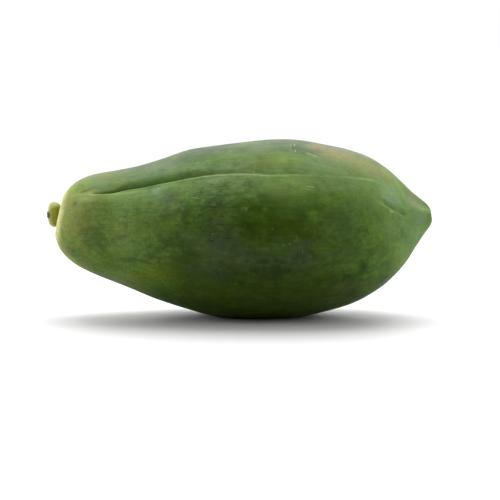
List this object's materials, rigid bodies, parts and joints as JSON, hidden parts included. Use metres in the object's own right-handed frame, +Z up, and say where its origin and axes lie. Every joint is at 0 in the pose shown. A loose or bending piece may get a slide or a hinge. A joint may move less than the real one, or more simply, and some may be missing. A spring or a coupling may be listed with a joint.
{
  "type": "papaya",
  "caption": "Whole green papaya lying on its side: a lobed, pear-shaped body with a blunt nipple at one end and the stub of its stalk in a shallow hollow at the other.",
  "frame": {"origin": "on the resting plane, under the middle of the bounding box", "axes": "+X along the fruit from the stalk to the blossom end, +Z up, -Y out of the side where one lobe faces out"},
  "size_m": [0.222, 0.101, 0.1021],
  "materials": {
    "skin": "smooth waxy green skin, paler and yellower at the stalk end, with a faint orange blush",
    "stalk": "dull olive-yellow, with a dark brown cut end"
  },
  "bodies": {
    "root": {"fruit": "skin", "stalk": "stalk"}
  },
  "joints": []
}
